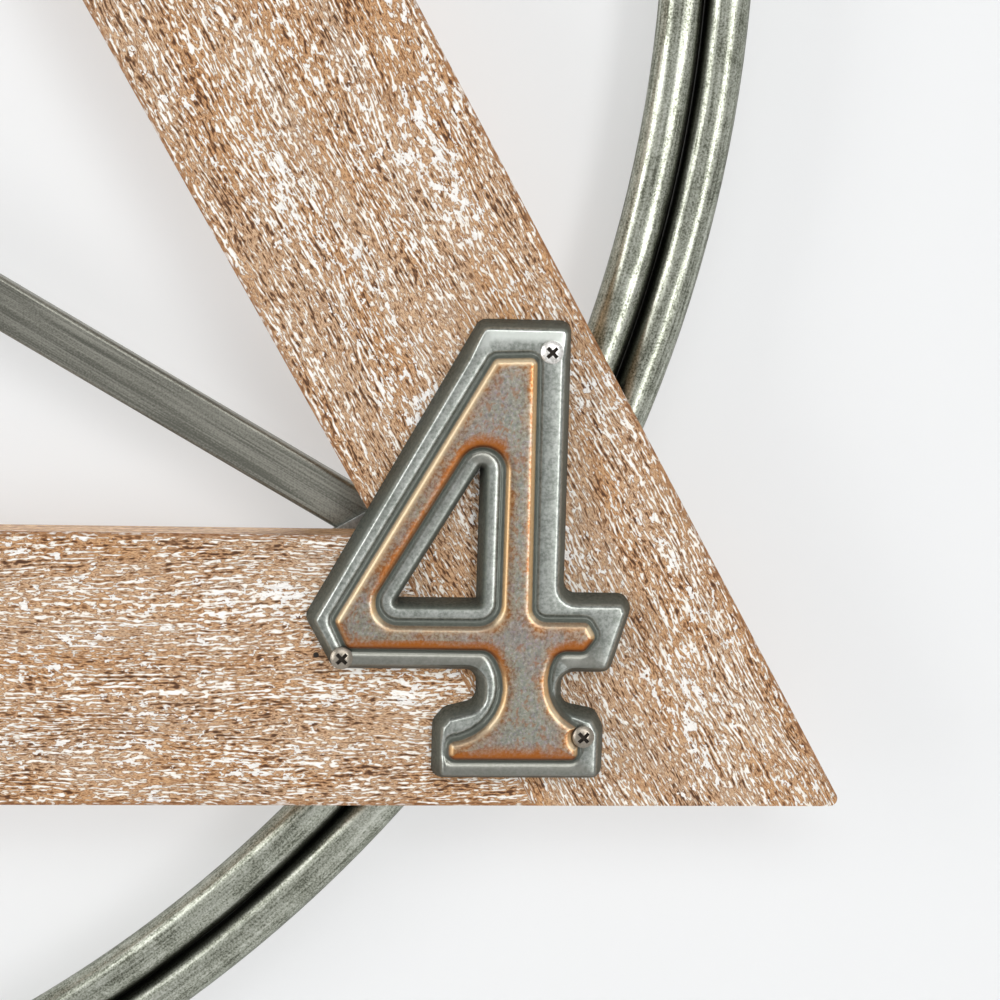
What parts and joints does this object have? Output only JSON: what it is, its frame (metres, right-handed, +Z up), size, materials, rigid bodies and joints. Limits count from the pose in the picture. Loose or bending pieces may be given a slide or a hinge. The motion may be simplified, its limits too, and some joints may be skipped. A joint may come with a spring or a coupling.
{
  "type": "wall clock",
  "caption": "Open wall clock: a triangle of whitewashed planks over a double tube ring on spokes, with stamped numerals at its corners, hands and a quartz movement.",
  "frame": {"origin": "the point on the wall's plane behind the seat of the hanger's slot, where the wall screw carries the clock", "axes": "+X right as seen from the front, +Y into the wall, +Z up; the dial's front faces -Y"},
  "size_m": [0.7626, 0.0385, 0.7915],
  "materials": {
    "whitewashed_wood": "open grain with white wash left in it",
    "ring_steel": "galvanized, mottled, satin",
    "spoke_steel": "dark brushed bar with bright edges",
    "plate_steel": "zinc-plated sheet",
    "hub_steel": "dark galvanized sheet",
    "numeral_steel": "stamped, galvanized, edges rubbed with copper-orange",
    "nickel_screw": "nickel-plated",
    "zinc_screw": "zinc-plated",
    "bumper_rubber": "matt black",
    "hand_paint": "satin black paint",
    "case_plastic": "black moulded plastic",
    "cover_plastic": "black moulded plastic",
    "knob_plastic": "light grey moulded plastic",
    "gear_plastic": "white acetal",
    "gasket_rubber": "black",
    "brass": "plain",
    "magnet": "sintered magnet on a plastic arbor",
    "lamination": "stamped soft iron",
    "coil_wire": "enamelled copper wire",
    "board": "green solder mask",
    "crystal_can": "drawn can",
    "contact_metal": "nickel-plated spring steel",
    "battery_jacket": "plain dark sleeve with a bare metal end"
  },
  "bodies": {
    "frame": {"plank_bottom": "whitewashed_wood", "plank_right": "whitewashed_wood", "plank_left": "whitewashed_wood", "ring_outer_tube": "ring_steel", "ring_inner_tube": "ring_steel", "spoke_12": "spoke_steel", "spoke_4": "spoke_steel", "spoke_8": "spoke_steel", "hub_disc": "hub_steel", "corner_plate_12": "plate_steel", "corner_plate_4": "plate_steel", "corner_plate_8": "plate_steel", "corner_plate_screws": "zinc_screw", "ring_straps": "plate_steel", "ring_strap_screws": "zinc_screw", "numeral_1": "numeral_steel", "numeral_2": "numeral_steel", "numeral_4": "numeral_steel", "numeral_8": "numeral_steel", "numeral_screws": "nickel_screw", "wall_bumpers": "bumper_rubber", "bumper_screws": "zinc_screw", "hanger_plate": "plate_steel", "movement_case": "case_plastic", "movement_cover": "cover_plastic", "bush_gasket": "gasket_rubber", "bush_washer": "brass", "bush_nut": "brass", "stator": "lamination", "coil": "coil_wire", "circuit_board": "board", "quartz_crystal": "crystal_can", "contact_positive": "contact_metal", "contact_negative": "contact_metal"},
    "hour": {"hour_wheel": "gear_plastic", "hour_hand": "hand_paint"},
    "minute": {"minute_arbor": "brass", "minute_hand": "hand_paint", "hand_nut": "hand_paint"},
    "works": {"works_wheel": "gear_plastic"},
    "knob": {"set_knob": "knob_plastic"},
    "centre": {"centre_wheel": "gear_plastic"},
    "third": {"third_wheel": "gear_plastic"},
    "second": {"second_wheel": "gear_plastic"},
    "intermediate": {"intermediate_wheel": "gear_plastic"},
    "rotor": {"rotor": "magnet"},
    "battery": {"battery": "battery_jacket"}
  },
  "joints": [
    {"name": "minute_spin", "type": "hinge", "parent": "frame", "child": "minute", "pos_m": [0, -0.01, -0.32], "axis": [0, 1, 0], "continuous": true},
    {"name": "hour_spin", "type": "hinge", "parent": "frame", "child": "hour", "pos_m": [0, -0.01, -0.32], "axis": [0, 1, 0], "continuous": true},
    {"name": "works_spin", "type": "hinge", "parent": "frame", "child": "works", "pos_m": [-0.01039, -0.01, -0.314], "axis": [0, 1, 0], "continuous": true},
    {"name": "knob_spin", "type": "hinge", "parent": "frame", "child": "knob", "pos_m": [-0.01039, -0.01, -0.302], "axis": [0, 1, 0], "continuous": true},
    {"name": "intermediate_spin", "type": "hinge", "parent": "frame", "child": "intermediate", "pos_m": [-0.00122, -0.01, -0.30479], "axis": [0, 1, 0], "continuous": true},
    {"name": "second_spin", "type": "hinge", "parent": "frame", "child": "second", "pos_m": [0.00724, -0.01, -0.30172], "axis": [0, 1, 0], "continuous": true},
    {"name": "third_spin", "type": "hinge", "parent": "frame", "child": "third", "pos_m": [0.00912, -0.01, -0.31235], "axis": [0, 1, 0], "continuous": true},
    {"name": "centre_spin", "type": "hinge", "parent": "frame", "child": "centre", "pos_m": [0, -0.01, -0.32], "axis": [0, 1, 0], "continuous": true},
    {"name": "rotor_spin", "type": "hinge", "parent": "frame", "child": "rotor", "pos_m": [-0.00668, -0.01, -0.29828], "axis": [0, 1, 0], "continuous": true},
    {"name": "battery_slide", "type": "slide", "parent": "frame", "child": "battery", "axis": [0, 1, 0], "range_m": [0, 0.02]}
  ],
  "couplings": [
    {"joint": "hour_spin", "follows": "minute_spin", "ratio": 0.083333},
    {"joint": "works_spin", "follows": "minute_spin", "ratio": -0.33333},
    {"joint": "knob_spin", "follows": "minute_spin", "ratio": 1},
    {"joint": "second_spin", "follows": "intermediate_spin", "ratio": -0.25},
    {"joint": "third_spin", "follows": "intermediate_spin", "ratio": 0.03125},
    {"joint": "centre_spin", "follows": "intermediate_spin", "ratio": -0.0041667},
    {"joint": "rotor_spin", "follows": "intermediate_spin", "ratio": -7.5}
  ]
}
